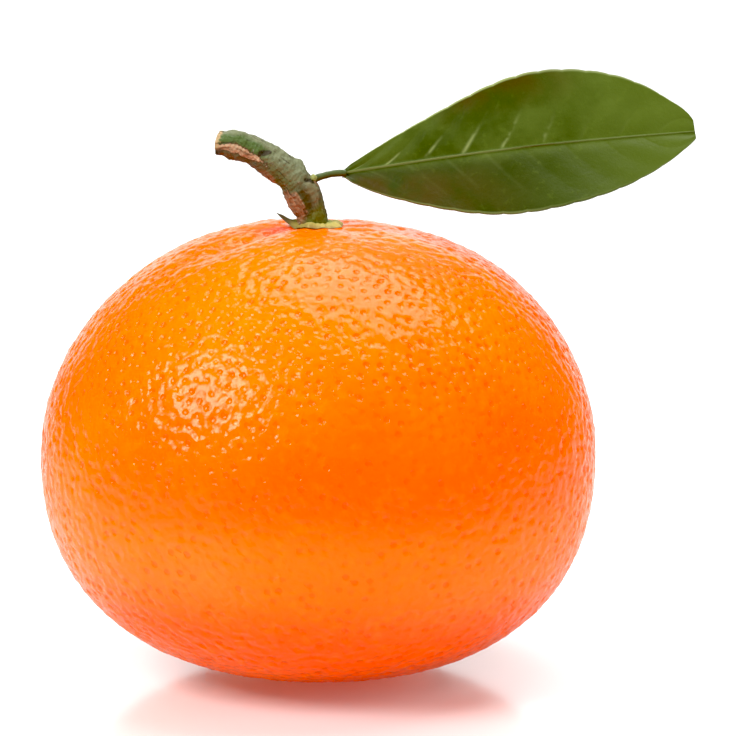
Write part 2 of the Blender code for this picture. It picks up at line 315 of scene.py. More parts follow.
def oil_gland_tree():
    """Glands spread over the peel at even gaps, each sinking a pit of its own size."""
    tree, given, result = new_growth("oil_glands", (
        ("Spacing", "NodeSocketFloat"), ("Seed", "NodeSocketInt"),
        ("Pit Depth", "NodeSocketFloat"), ("Pit Width", "NodeSocketFloat"),
        ("Pebble Rise", "NodeSocketFloat"), ("Pebble Size", "NodeSocketFloat"),
        ("Finish", "NodeSocketMaterial")))
    scatter = fed_node(tree, "GeometryNodeDistributePointsOnFaces", {
        "Mesh": given["Geometry"], "Distance Min": given["Spacing"],
        "Density Max": MOST_GLANDS, "Seed": given["Seed"]}, distribute_method="POISSON")
    glands = scatter.outputs["Points"]
    nearest = fed_node(tree, "GeometryNodeSampleNearest", {"Geometry": glands}, domain="POINT")
    nearest = nearest.outputs["Index"]
    place = add_node(tree, "GeometryNodeInputPosition").outputs[0]
    gland_place = fed_node(tree, "GeometryNodeSampleIndex", {
        "Geometry": glands, "Value": place, "Index": nearest},
        data_type="FLOAT_VECTOR", domain="POINT").outputs["Value"]
    chance = fed_node(tree, "FunctionNodeRandomValue", {
        "ID": nearest, "Seed": given["Seed"]}, data_type="FLOAT")
    size = chance.outputs["Value"]
    reach = gap_between(tree, place, gland_place)
    ratio = maths(tree, "DIVIDE", reach, given["Pit Width"])
    well = maths(tree, "EXPONENT", times(tree, maths(tree, "POWER", ratio, 2.0), -1.0))
    share = maths(tree, "MULTIPLY_ADD", size, PIT_SHARES[1] - PIT_SHARES[0], PIT_SHARES[0])
    pit = times(tree, well, times(tree, given["Pit Depth"], share))
    pebbles = fed_node(tree, "ShaderNodeTexNoise", {
        "Vector": place, "Scale": maths(tree, "DIVIDE", 1.0, given["Pebble Size"]),
        "Detail": 2.0, "Roughness": 0.48})
    pebble = times(tree, maths(tree, "SUBTRACT", pebbles.outputs[0], 0.5), given["Pebble Rise"])
    bare = fed_node(tree, "GeometryNodeInputNamedAttribute", {"Name": "bare"}, data_type="FLOAT")
    lift = times(tree, maths(tree, "SUBTRACT", pebble, pit), bare.outputs["Attribute"])
    normal = add_node(tree, "GeometryNodeInputNormal").outputs[0]
    skin = given["Geometry"]
    for note, kind, value in (("gland_place", "FLOAT_VECTOR", gland_place),
                              ("gland_reach", "FLOAT", reach), ("gland_size", "FLOAT", size)):
        skin = fed_node(tree, "GeometryNodeStoreNamedAttribute", {
            "Geometry": skin, "Name": note, "Value": value},
            data_type=kind, domain="POINT").outputs["Geometry"]
    for kind, inputs in (("GeometryNodeSetPosition", {"Offset": vector_maths(tree, "SCALE", normal, lift)}),
                         ("GeometryNodeSetShadeSmooth", {}), ("GeometryNodeRealizeInstances", {}),
                         ("GeometryNodeSetMaterial", {"Material": given["Finish"]})):
        skin = fed_node(tree, kind, {"Geometry": skin, **inputs}).outputs["Geometry"]
    feed(tree, result, skin)
    return tree


def new_finish(name):
    """An empty material: the material, its tree and its Principled shader."""
    finish = bpy.data.materials.new(name)
    finish.use_nodes = True
    return finish, finish.node_tree, finish.node_tree.nodes["Principled BSDF"]


def blend_colours(tree, share, first, second, blend_type="MIX"):
    """From the first colour to the second as the share goes from 0 to 1."""
    node = add_node(tree, "ShaderNodeMix", data_type="RGBA", blend_type=blend_type)
    feed(tree, node.inputs[0], share)
    for socket, colour in ((node.inputs[6], first), (node.inputs[7], second)):
        feed(tree, socket, colour if isinstance(colour, bpy.types.NodeSocket) else (*colour, 1.0))
    return node.outputs[2]


def object_place(tree):
    return add_node(tree, "ShaderNodeTexCoord").outputs["Object"]


def read_note(tree, name, output="Fac"):
    return add_node(tree, "ShaderNodeAttribute", attribute_name=name).outputs[output]


def lay_finish(tree, shader, colour, roughness, height, relief):
    """Give the shader its colour, its roughness and a bump as deep as the relief."""
    bump = fed_node(tree, "ShaderNodeBump", {"Height": height, "Distance": relief})
    for name, value in (("Base Color", colour), ("Roughness", roughness), ("Normal", bump.outputs["Normal"])):
        tree.links.new(value, shader.inputs[name])


def set_sockets(shader, settings):
    """Set numbers and colours that are the same all over the surface."""
    for name, value in settings.items():
        shader.inputs[name].default_value = value


def orange_peel_finish():
    """Waxy peel: orange clouds, redder pores, a wax gloss that varies a little, painted shade on the front
    and in the fold by the calyx, and a low band of painted bounce light.
    """
    finish, tree, shader = new_finish("orange_peel")
    place = object_place(tree)
    clouds = speckle(tree, place, 0.016, 3.0)
    freckles = speckle(tree, place, 0.0016, 2.0)
    base = blend_colours(tree, fade(tree, clouds, 0.3, 0.7), *PEEL_CLOUDS)
    # Painted shade: a redder, darker orange on the front, lower face
    shaded_front_reach = measure_along(tree, place, SHADED_FRONT_WAY)
    shaded_front = fade(tree, maths(tree, "MULTIPLY_ADD", clouds, 0.012, shaded_front_reach), 0.004, 0.031)
    base = blend_colours(tree, shaded_front, base, SHADED_FRONT_ORANGE)
    up = measure_along(tree, place, (0.0, 0.0, 1.0))
    # Painted bounce light: a yellower band low round the peel
    bounce_light_belt = times(tree, fade(tree, up, *BOUNCE_LIGHT_FOOT), fade(tree, up, *BOUNCE_LIGHT_TOP))
    base = blend_colours(tree, times(tree, bounce_light_belt, 0.75), base, BOUNCE_LIGHT_ORANGE)
    base = blend_colours(tree, fade(tree, freckles, 0.5, 0.75, 0.0, 0.25), base, FRECKLE_ORANGE)
    gap = gap_between(tree, place, read_note(tree, "gland_place", "Vector"))
    own_gland = fade(tree, read_note(tree, "gland_reach"), 0.00050, 0.00036)
    size = read_note(tree, "gland_size")
    width = maths(tree, "MULTIPLY_ADD", size, 0.8 * PORE_RADIUS, 0.5 * PORE_RADIUS)
    pore = times(tree, fade(tree, maths(tree, "DIVIDE", gap, width), 1.3, 0.25), own_gland)
    depth = times(tree, pore, maths(tree, "POWER", size, 1.6))
    base = blend_colours(tree, times(tree, depth, 0.42), base, PORE_ORANGE)
    # Painted shade on the far wall of the fold beside the calyx
    base = blend_colours(tree, fade(tree, read_note(tree, "fold"), 0.15, 1.0), base, FOLD_SHADE_ORANGE)
    from_middle = gap_between(tree, place, (0.0, 0.0, 0.0))
    scar = fade(tree, maths(tree, "MULTIPLY_ADD", freckles, 0.0012, from_middle), 0.0020, 0.0016)
    base = blend_colours(tree, scar, base, SCAR_BROWN)
    gloss = speckle(tree, place, 0.006, 2.0)
    dents = speckle(tree, place, 0.00095, 0.8, 0.45)
    fine = speckle(tree, place, 0.00025, 1.0)
    height = maths(tree, "MULTIPLY_ADD", dents, 1.9, times(tree, fine, 0.05))
    dimple = times(tree, fade(tree, gap, DIMPLE_RADIUS, 0.0), own_gland)
    dimple = times(tree, dimple, fade(tree, up, *DIMPLED_FROM, 0.15, 0.9))
    height = maths(tree, "SUBTRACT", height, maths(tree, "MULTIPLY_ADD", depth, 0.8, dimple))
    height = times(tree, height, fade(tree, up, *CALM_FROM, 1.0, 0.45))
    lay_finish(tree, shader, base, fade(tree, gloss, 0.2, 0.8, 0.17, 0.25), height, SKIN_RELIEF)
    tree.links.new(fade(tree, up, *GLOSSY_FROM, 0.16, 0.5), shader.inputs["Specular IOR Level"])
    set_sockets(shader, {"Specular Tint": (1.0, 0.80, 0.66, 1.0), "IOR": 1.35, "Subsurface Weight": 0.12,
                         "Subsurface Radius": (1.0, 0.3, 0.05), "Subsurface Scale": 0.0012})
    return finish


peel_mesh, directions = ball_of_squares("peel", PEEL_CELLS)
peel_points = round_body(directions)
on_crown = directions[:, 2] > 0
from_calyx = np.hypot(peel_points[:, 0] - CALYX_X, peel_points[:, 1])
peel_bare = np.where(on_crown, ease((from_calyx - CALYX_RADIUS) / SMOOTH_EDGE),
                     ease(peel_points[:, 2] / SMOOTH_EDGE))
from_scar = np.hypot(peel_points[:, 0], peel_points[:, 1])
base_lift = BASE_ROUNDING * ring_swell(from_scar, BASE_REACH)
peel_points[:, 2] += np.where(on_crown, -crown_drop(peel_points[:, 0], peel_points[:, 1]), base_lift)
peel_points[:, 2] = np.maximum(peel_points[:, 2], 0.0)
peel_points[:, 2] += np.where(on_crown, 0.0, SCAR_DEPTH * bell(from_scar, SCAR_RADIUS))
move_points(peel_mesh, peel_points)
note_points(peel_mesh, "bare", peel_bare)
# Where shade is painted on the far wall of the fold beside the calyx
note_points(peel_mesh, "fold", np.where(on_crown, fold_shade(peel_points[:, 0], peel_points[:, 1]), 0.0))
peel = show("peel", peel_mesh)
peel.data = grow(peel, oil_gland_tree(), {
    "Spacing": GLAND_SPACING, "Seed": GLAND_SEED, "Pit Depth": PIT_DEPTH, "Pit Width": PIT_WIDTH,
    "Pebble Rise": PEBBLE_RISE, "Pebble Size": PEBBLE_SIZE, "Finish": orange_peel_finish()})
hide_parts("fruit")
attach(peel, "root")


# The calyx: five dry sepals round a pad of yellow-green flesh, grown onto the crown
# under the twig. They are thin and here and there brown at the rim, and the left one
# curls up to a dark spike.
CALYX_FLESH = 0.00040
CALYX_GAP = 0.00002
RIM_SHARE = 0.10
SEPAL_COUNT = 5
SEPAL_NOTCH = 0.86
SEPAL_TIP = 0.32
SEPAL_HEADING = math.radians(186)
CURL_RISE = 0.0014
CURL_REACH = 0.25
CURL_SPREAD = 0.26
CURL_START = 0.72
CURL_END = 1.43
LIP_HEADING = math.radians(8)
LIP_SPREAD = 0.42
LIP_REACH = 0.20
LIP_RISE = 0.0002
CALYX_RIDGES = 20
SEPAL_RIDGE = 0.00007
SEPAL_LUMP = 0.00014
SEPAL_COLLAR = 0.00022
CALYX_CELLS = (240, 40)
SEPAL_GREEN = (0.18, 0.21, 0.020)
SEPAL_STRAW = (0.37, 0.305, 0.072)
SEPAL_BROWN = (0.20, 0.14, 0.045)
SEPAL_OLIVE = (0.19, 0.155, 0.032)
SEPAL_DARK = (0.090, 0.068, 0.022)


def ball_mesh(name, cells):
    """A unit ball with this many cells round it and from pole to pole."""
    shape = bmesh.new()
    bmesh.ops.create_uvsphere(shape, u_segments=cells[0], v_segments=cells[1], radius=1.0)
    return keep_shape(shape, name)


def calyx_places(ball):
    """A ball's points, flattened into the ridged star that lies on the crown."""
    heading = np.arctan2(ball[:, 1], ball[:, 0])
    out = np.hypot(ball[:, 0], ball[:, 1])
    from_tip = angle_between(heading, SEPAL_HEADING)
    curl = bell(from_tip, CURL_SPREAD)
    point = (1.0 - np.abs(np.sin(0.5 * SEPAL_COUNT * from_tip))) ** 1.3
    lip = bell(angle_between(heading, LIP_HEADING), LIP_SPREAD)
    reach = CALYX_RADIUS * (SEPAL_NOTCH + SEPAL_TIP * point * (1.0 - curl * (1.0 - point))
                            + CURL_REACH * curl * point ** 3 + LIP_REACH * lip) * out
    x = CALYX_X + reach * np.cos(heading)
    y = reach * np.sin(heading)
    beyond = np.clip((reach / CALYX_RADIUS - CURL_START) / (CURL_END - CURL_START), 0.0, 1.0)
    lift = CURL_RISE * curl * beyond ** 1.6 + LIP_RISE * lip * out ** 3
    half_thick = CALYX_FLESH * (RIM_SHARE + (1.0 - RIM_SHARE) * (1.0 - out ** 3)) * (1.0 - 0.5 * curl * out)
    ridge = SEPAL_RIDGE * np.cos(CALYX_RIDGES * heading + 3.0 * out) * out * (1.0 - out ** 4)
    lump = SEPAL_LUMP * np.sin(9.0 * heading + 1.0) * np.sin(5.0 * out) * (1.0 - out ** 2)
    lump += SEPAL_COLLAR * bell(out - 0.8, 0.16) * (1.0 + 0.5 * np.sin(4.0 * heading + 2.0))
    above = np.where(ball[:, 2] > 0, 1.0, 0.0)
    height = crown_height(x, y) + CALYX_GAP + half_thick * (1.0 + ball[:, 2])
    height += lift + above * (ridge + lump)
    return np.stack([x, y, height], axis=1), out, curl


def calyx_finish():
    """Yellow-green flesh going straw-coloured, olive to the left, brown in dry spots of the rim."""
    finish, tree, shader = new_finish("calyx_sepals")
    place = object_place(tree)
    grain = speckle(tree, place, 0.0007, 3.0)
    dry = speckle(tree, place, 0.0016, 2.0)
    spread = maths(tree, "MULTIPLY_ADD", grain, 0.34, maths(tree, "SUBTRACT", read_note(tree, "out"), 0.17))
    base = blend_colours(tree, fade(tree, spread, 0.45, 0.75), SEPAL_GREEN, SEPAL_STRAW)
    dry_rim = times(tree, fade(tree, spread, 0.86, 1.02), fade(tree, dry, 0.4, 0.6))
    base = blend_colours(tree, dry_rim, base, SEPAL_BROWN)
    across = measure_along(tree, place, (1.0, 0.0, 0.0))
    base = blend_colours(tree, fade(tree, across, 0.0004, -0.0034, 0.0, 0.7), base, SEPAL_OLIVE)
    base = blend_colours(tree, fade(tree, read_note(tree, "curl"), 0.4, 0.9), base, SEPAL_DARK)
    rough = fade(tree, grain, 0.3, 0.7, 0.5, 0.72)
    lay_finish(tree, shader, base, rough, speckle(tree, place, 0.00035, 3.0), 0.00008)
    return finish


calyx_mesh = ball_mesh("calyx_star", CALYX_CELLS)
star_points, star_out, star_curl = calyx_places(mesh_points(calyx_mesh))
move_points(calyx_mesh, star_points)
note_points(calyx_mesh, "out", star_out)
note_points(calyx_mesh, "curl", star_curl * star_out)
calyx_mesh.shade_smooth()
calyx_mesh.materials.append(calyx_finish())
calyx_star = show("calyx_star", calyx_mesh)
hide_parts("calyx")
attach(calyx_star, "root")


# The twig: green bark with corky brown strips, bent over at the knuckle that bore the
# leaf. It grows out of the calyx, and its end is a slanting cut through pale wood.
TWIG_LINE = (
    ((-0.00050, -0.0003, 0.0551), 0.00190),
    ((-0.00080, -0.0003, 0.0570), 0.00176),
    ((-0.00148, -0.0003, 0.0585), 0.00210),
    ((-0.00210, -0.0003, 0.0598), 0.00212),
    ((-0.00285, -0.0004, 0.0610), 0.00200),
    ((-0.00385, -0.0006, 0.0620), 0.00190),
    ((-0.00530, -0.0009, 0.0631), 0.00195),
    ((-0.00650, -0.0011, 0.0639), 0.00190),
    ((-0.00780, -0.0013, 0.0647), 0.00172),
    ((-0.00940, -0.0016, 0.0653), 0.00176),
    ((-0.01080, -0.0018, 0.0656), 0.00160),
    ((-0.01320, -0.0021, 0.0657), 0.00128),
)
TWIG_SIDES = 96
TWIG_STEPS = 22
CUT_PLACE = Vector((-0.0119, -0.0020, 0.0657))
CUT_FACING = Vector((-0.91, 0.34, 0.08))
# Rings of the cut wood, each shrunk from the one outside it and sunk by a height
CUT_RINGS = ((0.93, 0.0), (0.9, 0.00008), (0.85, -0.00003), (0.75, 0.00004), (0.6, -0.00003), (0.4, 0.0001),
             (0.3, 0.00008))
# Swellings that the bark runs over: place, reach and rise
TWIG_SWELLINGS = (
    ((-0.0021, -0.0003, 0.0632), 0.0007, 0.00042),
    ((-0.0011, -0.0004, 0.0617), 0.0006, -0.00045),
    ((-0.0014, -0.0018, 0.0612), 0.0005, -0.00026),
    ((-0.0009, -0.0022, 0.0603), 0.0006, 0.00016),
    ((0.0000, -0.0008, 0.0600), 0.0008, 0.00022),
    ((-0.0063, -0.0028, 0.0648), 0.0006, -0.00022),
    ((-0.0071, -0.0027, 0.0654), 0.0005, 0.00016),
    ((-0.0099, -0.0026, 0.0670), 0.0009, 0.00020),
    ((-0.0106, -0.0020, 0.0641), 0.0004, 0.00034),
    ((-0.0052, -0.0016, 0.0613), 0.0010, 0.00014),
    ((-0.0046, -0.0006, 0.0604), 0.0008, -0.00020),
)
# Dark places in the bark, an old leaf scar and painted shade in the creases by the knuckle and beside the
# bud: place and reach
SCARS_AND_CREASE_SHADES = (
    ((-0.0070, -0.0028, 0.0645), 0.00040),
    ((-0.0064, -0.0028, 0.0646), 0.00046),
    ((-0.0057, -0.0028, 0.0648), 0.00040),
    ((-0.0014, -0.0018, 0.0612), 0.00035),
    ((-0.0008, -0.0013, 0.0610), 0.00050),
    ((-0.0058, -0.0026, 0.0628), 0.00030),
    ((-0.0124, -0.0027, 0.0647), 0.00060),
)
# Strips of bark: run along the twig in mm, half length, heading in degrees, half width
SPLIT_STRIP = (74.6, 4.3, -106, 20)
GROOVE_STRIP = (60.0, 2.6, -85, 19)
GREY_STRIP = (60.0, 3.0, -45, 22)
# Corky strips: how thick each is, then its place as above
CORKY_STRIPS = (
    (1.2, 60.9, 3.0, -150, 40),
    (1.0, 57.5, 2.0, -142, 34),
    (1.0, 67.8, 1.9, -158, 24),
    (0.7, 61.5, 2.5, -12, 12),
    (0.6, 66.0, 5.0, 120, 30),
    (0.7, 73.0, 2.5, 150, 30),
)
# Relief of the bark: rises, and for the bumps their rise, size and seed
RIDGE_RISE = 0.00008
BARK_BUMPS = ((0.00006, 0.0013, 7), (0.00004, 0.0005, 8))
CORK_RISE = 0.00012
GROOVE_DEPTH = 0.00026
SPLIT_RISE = 0.00008
CRACK_DEPTH = 0.00016
BARK_GREEN = ((0.055, 0.072, 0.014), (0.098, 0.104, 0.030))
# Partly real grey bark and partly a painted highlight on the twig's upper side
BARK_GREY_AND_TOP_HIGHLIGHT = ((0.115, 0.126, 0.052), (0.215, 0.228, 0.135))
BARK_OLIVE = ((0.035, 0.032, 0.006), (0.100, 0.092, 0.036))
BARK_PALE = ((0.080, 0.068, 0.022), (0.195, 0.175, 0.088))
CORK_BROWN = ((0.100, 0.046, 0.018), (0.270, 0.145, 0.068))
CORK_PALE = (0.300, 0.195, 0.112)
VIVID_GREEN = (0.045, 0.085, 0.007)
UNDERSIDE_BROWN = (0.085, 0.055, 0.018)
TORN_EDGE = (0.060, 0.036, 0.010)
TORN_TAN = ((0.20, 0.100, 0.045), (0.48, 0.320, 0.190))
RIM_TAN = (0.38, 0.255, 0.120)
RIM_SHADE = (0.050, 0.030, 0.010)
CRACK_BROWN = (0.022, 0.016, 0.004)
FURROW_BROWN = ((0.030, 0.023, 0.003), (0.090, 0.070, 0.012))
FOOT_LIME = ((0.065, 0.066, 0.004), (0.125, 0.135, 0.012))
# Colour of the leaf scar and of the painted shade in the creases
SCAR_AND_CREASE_SHADE_BROWN = (0.026, 0.018, 0.003)
PALE_SPECK = (0.22, 0.22, 0.15)
WOOD_TAN = ((0.36, 0.24, 0.11), (0.50, 0.36, 0.18))
PITH_BROWN = (0.20, 0.12, 0.05)
WOOD_EDGE = (0.12, 0.085, 0.035)
WOOD_RINGS = 21000.0


def tube_mesh(name, line, sides, steps):
    """A round tube with filled caps, swept along a smooth line of varying radius."""
    curve = bpy.data.curves.new(name, "CURVE")
    curve.dimensions = "3D"
    curve.bevel_depth = 1.0
    curve.bevel_resolution = (sides - 4) // 2
    curve.use_fill_caps = True
    curve.resolution_u = steps
    spline = curve.splines.new("BEZIER")
    spline.bezier_points.add(len(line) - 1)
    for point, (place, radius) in zip(spline.bezier_points, line):
        point.co = place
        point.radius = radius
        point.handle_left_type = "AUTO"
        point.handle_right_type = "AUTO"
    carrier = show(name, curve)
    mesh = settled_mesh(carrier)
    bpy.data.objects.remove(carrier, do_unlink=True)
    shape = bmesh.new()
    shape.from_mesh(mesh)
    bmesh.ops.remove_doubles(shape, verts=shape.verts, dist=0.000001)
    bmesh.ops.recalc_face_normals(shape, faces=shape.faces)
    shape.to_mesh(mesh)
    shape.free()
    mesh.name = name
    mesh.materials.clear()
    mesh.shade_smooth()
    return mesh


def cloud(points, size, seed):
    """Smooth waves in three directions, from -1 to 1, whose length is about this size."""
    draw = np.random.default_rng(seed)
    total = np.zeros(len(points))
    for wave in range(6):
        way = draw.normal(size=3)
        way *= 2.0 * np.pi / (size * np.linalg.norm(way)) * draw.uniform(0.7, 1.5)
        total += np.sin(points @ way + draw.uniform(0.0, 6.28))
    return total / 3.0


def patch(run, turn, run_at, run_reach, turn_at, turn_reach):
    """1 in the middle of a strip of bark, fading to 0 round it."""
    return bell(run - run_at, run_reach) * bell(angle_between(turn, math.radians(turn_at)),
                                                math.radians(turn_reach))


twig_mesh = tube_mesh("twig", TWIG_LINE, TWIG_SIDES, TWIG_STEPS)
bark_points = mesh_points(twig_mesh)
bark_normals = mesh_normals(twig_mesh)
run = (bark_points[:, 2] - bark_points[:, 0]) * 1000.0
turn = np.arctan2(bark_normals[:, 1], bark_normals[:, 0] + bark_normals[:, 2])
to_cut = (np.array(CUT_PLACE) - bark_points) @ np.array(CUT_FACING.normalized()) * 1000.0
drift = turn + 0.10 * np.sin(0.9 * run) + 0.10 * cloud(bark_points, 0.0012, 3)
split = patch(run, drift, *SPLIT_STRIP)
corky = sum(share * patch(run, drift, *strip) for share, *strip in CORKY_STRIPS)
groove = patch(run, drift, *GROOVE_STRIP)
grey_strip = patch(run, drift, *GREY_STRIP)
ridges = (0.45 * np.sin(5.0 * drift + 0.2 * run) + 0.35 * np.sin(11.0 * drift - 0.2 * run)
          + 0.35 * np.sin(19.0 * drift + 0.3 * run))
rise = RIDGE_RISE * ridges
for height, size, seed in BARK_BUMPS:
    rise += height * cloud(bark_points, size, seed)
rise += CORK_RISE * corky * (0.6 + 0.4 * cloud(bark_points, 0.0009, 9)) - GROOVE_DEPTH * groove
crack = CRACK_DEPTH * bell(drift - math.radians(-84), 0.09) * bell(run - 74.0, 3.6)
rise += SPLIT_RISE * split * (0.3 + cloud(bark_points, 0.0006, 12)) - crack
# An old leaf scar, and painted shade in the creases by the knuckle and the bud
scar_and_crease_shade = sum(bell(np.linalg.norm(bark_points - np.array(place), axis=1), reach) for place, reach in SCARS_AND_CREASE_SHADES)
for place, reach, height in TWIG_SWELLINGS:
    rise += height * bell(np.linalg.norm(bark_points - np.array(place), axis=1), reach)
move_points(twig_mesh, bark_points + bark_normals * rise[:, None])
for note, values in (("run", run), ("turn", drift), ("corky", corky), ("split", split), ("to_cut", to_cut),
                     ("groove", groove), ("grey_strip", grey_strip), ("scar_and_crease_shade", scar_and_crease_shade)):
    note_points(twig_mesh, note, values)


def side_of(tree, around, offset, start, end):
    """One side of the twig, by the cosine of the heading round it plus an offset."""
    return fade(tree, maths(tree, "COSINE", maths(tree, "ADD", around, offset)), start, end)


def bark_finish():
    """Green bark with fine lengthwise cracks, dry brown strips and a lime-green foot, a painted highlight on
    its paler top, and painted shade under the cut rim and in the creases by the knuckle and the bud.
    """
    finish, tree, shader = new_finish("green_bark")
    place = object_place(tree)
    run_along = read_note(tree, "run")
    around = read_note(tree, "turn")
    thread_place = fed_node(tree, "ShaderNodeCombineXYZ", {
        "X": times(tree, around, 2.6), "Y": times(tree, run_along, 0.16)})
    threads = speckle(tree, thread_place.outputs[0], 0.5, 4.0, 0.6)
    blots = speckle(tree, place, 0.0018, 3.0)
    grain = speckle(tree, place, 0.0004, 4.0, 0.65)
    cracks = fade(tree, threads, 0.44, 0.33)
    # Partly real grey bark and partly a painted highlight: the upper side is paler and greyer
    facing_up = side_of(tree, around, 0.5, -0.1, 1.0)
    green = blend_colours(tree, fade(tree, blots, 0.35, 0.65), *BARK_GREEN)
    grey = blend_colours(tree, grain, *BARK_GREY_AND_TOP_HIGHLIGHT)
    base = blend_colours(tree, times(tree, facing_up, 0.75), green, grey)
    low_part = fade(tree, run_along, 64.5, 61.5)
    olive = blend_colours(tree, threads, *BARK_OLIVE)
    base = blend_colours(tree, times(tree, low_part, 0.85), base, olive)
    pale = blend_colours(tree, threads, *BARK_PALE)
    base = blend_colours(tree, fade(tree, read_note(tree, "grey_strip"), 0.25, 0.75), base, pale)
    brown = blend_colours(tree, fade(tree, threads, 0.3, 0.7), *CORK_BROWN)
    brown = blend_colours(tree, fade(tree, grain, 0.52, 0.70), brown, CORK_PALE)
    vivid = times(tree, side_of(tree, around, 1.05, 0.8, 0.97), fade(tree, run_along, 69.5, 72.0))
    base = blend_colours(tree, times(tree, vivid, 0.85), base, VIVID_GREEN)
    ragged = maths(tree, "MULTIPLY_ADD", grain, 0.6, maths(tree, "ADD", read_note(tree, "corky"), 0.05))
    base = blend_colours(tree, fade(tree, ragged, 0.68, 0.95), base, brown)
    under = side_of(tree, around, 2.6, 0.55, 0.95)
    browned = times(tree, under, fade(tree, run_along, 66.0, 70.0, 0.0, 0.8))
    base = blend_colours(tree, browned, base, UNDERSIDE_BROWN)
    tan = blend_colours(tree, fade(tree, threads, 0.3, 0.7), *TORN_TAN)
    torn = maths(tree, "MULTIPLY_ADD", grain, 1.0, maths(tree, "SUBTRACT", read_note(tree, "split"), 0.15))
    base = blend_colours(tree, fade(tree, torn, 0.50, 0.62), base, TORN_EDGE)
    base = blend_colours(tree, fade(tree, torn, 0.62, 0.80), base, tan)
    rim = maths(tree, "MULTIPLY_ADD", grain, 1.5, read_note(tree, "to_cut"))
    base = blend_colours(tree, fade(tree, rim, 1.35, 1.05), base, RIM_TAN)
    rim_shade = times(tree, fade(tree, read_note(tree, "to_cut"), 1.1, 0.5), under)
    base = blend_colours(tree, rim_shade, base, RIM_SHADE)
    base = blend_colours(tree, times(tree, cracks, 0.75), base, CRACK_BROWN)
    furrow = blend_colours(tree, grain, *FURROW_BROWN)
    base = blend_colours(tree, fade(tree, read_note(tree, "groove"), 0.25, 0.6), base, furrow)
    front = maths(tree, "MULTIPLY_ADD", side_of(tree, around, 1.15, 0.3, 0.95), 0.85, 0.15)
    foot = times(tree, fade(tree, run_along, 58.8, 57.2), front)
    base = blend_colours(tree, foot, base, blend_colours(tree, grain, *FOOT_LIME))
    # A dark old leaf scar, and painted shade in the creases by the knuckle and the bud
    base = blend_colours(tree, fade(tree, read_note(tree, "scar_and_crease_shade"), 0.35, 0.75), base, SCAR_AND_CREASE_SHADE_BROWN)
    base = blend_colours(tree, fade(tree, grain, 0.60, 0.72, 0.0, 0.7), base, PALE_SPECK)
    height = maths(tree, "MULTIPLY_ADD", threads, 0.7, times(tree, grain, 0.5))
    lay_finish(tree, shader, base, fade(tree, blots, 0.2, 0.8, 0.55, 0.8), height, 0.00020)
    return finish


def cut_wood_finish():
    """The cut end: dry tan wood with faint rings round a darker pith."""
    finish, tree, shader = new_finish("cut_wood")
    place = object_place(tree)
    grain = speckle(tree, place, 0.0003, 3.0)
    gap = gap_between(tree, place, tuple(CUT_PLACE))
    rings = maths(tree, "SINE", maths(tree, "MULTIPLY_ADD", grain, 3.0, times(tree, gap, WOOD_RINGS)))
    base = blend_colours(tree, fade(tree, rings, -1.0, 1.0), *WOOD_TAN)
    base = blend_colours(tree, fade(tree, gap, 0.0004, 0.00015), base, PITH_BROWN)
    base = blend_colours(tree, fade(tree, gap, 0.0011, 0.0016), base, WOOD_EDGE)
    lay_finish(tree, shader, base, fade(tree, grain, 0.2, 0.8, 0.7, 0.9), grain, 0.0001)
    return finish


twig_shape = bmesh.new()
twig_shape.from_mesh(twig_mesh)
bmesh.ops.bisect_plane(twig_shape, geom=twig_shape.verts[:] + twig_shape.edges[:] + twig_shape.faces[:],
                       plane_co=CUT_PLACE, plane_no=CUT_FACING, clear_outer=True)
bark_faces = set(twig_shape.faces)
cut_edges = [edge for edge in twig_shape.edges if edge.is_boundary]
cut_rim = {vert for edge in cut_edges for vert in edge.verts}
cut_middle = sum((vert.co for vert in cut_rim), Vector()) / len(cut_rim)
for shrink, sink in CUT_RINGS:
    grown = bmesh.ops.extrude_edge_only(twig_shape, edges=cut_edges)["geom"]
    cut_edges = [part for part in grown if isinstance(part, bmesh.types.BMEdge)]
    cut_rim = [part for part in grown if isinstance(part, bmesh.types.BMVert)]
    for vert in cut_rim:
        vert.co = cut_middle + (vert.co - cut_middle) * shrink - CUT_FACING.normalized() * sink
rim_middle = sum((vert.co for vert in cut_rim), Vector()) / len(cut_rim)
bmesh.ops.pointmerge(twig_shape, verts=cut_rim, merge_co=rim_middle)
bmesh.ops.recalc_face_normals(twig_shape, faces=twig_shape.faces)
for face in set(twig_shape.faces) - bark_faces:
    face.material_index = 1
twig_shape.to_mesh(twig_mesh)
twig_shape.free()
twig_mesh.materials.append(bark_finish())
twig_mesh.materials.append(cut_wood_finish())
twig = show("twig", twig_mesh)
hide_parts("stem")
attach(twig, "root")


# The leaf stalk: a short green petiole, grooved on top, that swells where it meets the
# knuckle and the blade. A small yellow-green bud sits in the angle under it.
PETIOLE_LINE = (
    ((-0.00110, -0.0004, 0.06080), 0.00055),
    ((-0.00035, -0.0004, 0.06120), 0.00048),
    ((0.00070, -0.0002, 0.06154), 0.00043),
    ((0.00175, -0.0001, 0.06178), 0.00043),
    ((0.00270, 0.0000, 0.06185), 0.00047),
    ((0.00345, 0.0000, 0.06190), 0.00042),
)
BUD_PLACE = np.array((-0.00055, -0.00075, 0.06135))
BUD_SIZE = np.array((0.00048, 0.00045, 0.00045))
BUD_CELLS = (48, 32)
STALK_SIDES = 40
STALK_STEPS = 20
STALK_GROOVE = 0.00010
STALK_BUMPS = 0.00002
STALK_GREEN = ((0.036, 0.060, 0.010), (0.075, 0.105, 0.028))
STALK_SHADE = (0.030, 0.040, 0.006)
BUD_GREEN = ((0.13, 0.15, 0.03), (0.34, 0.34, 0.10))


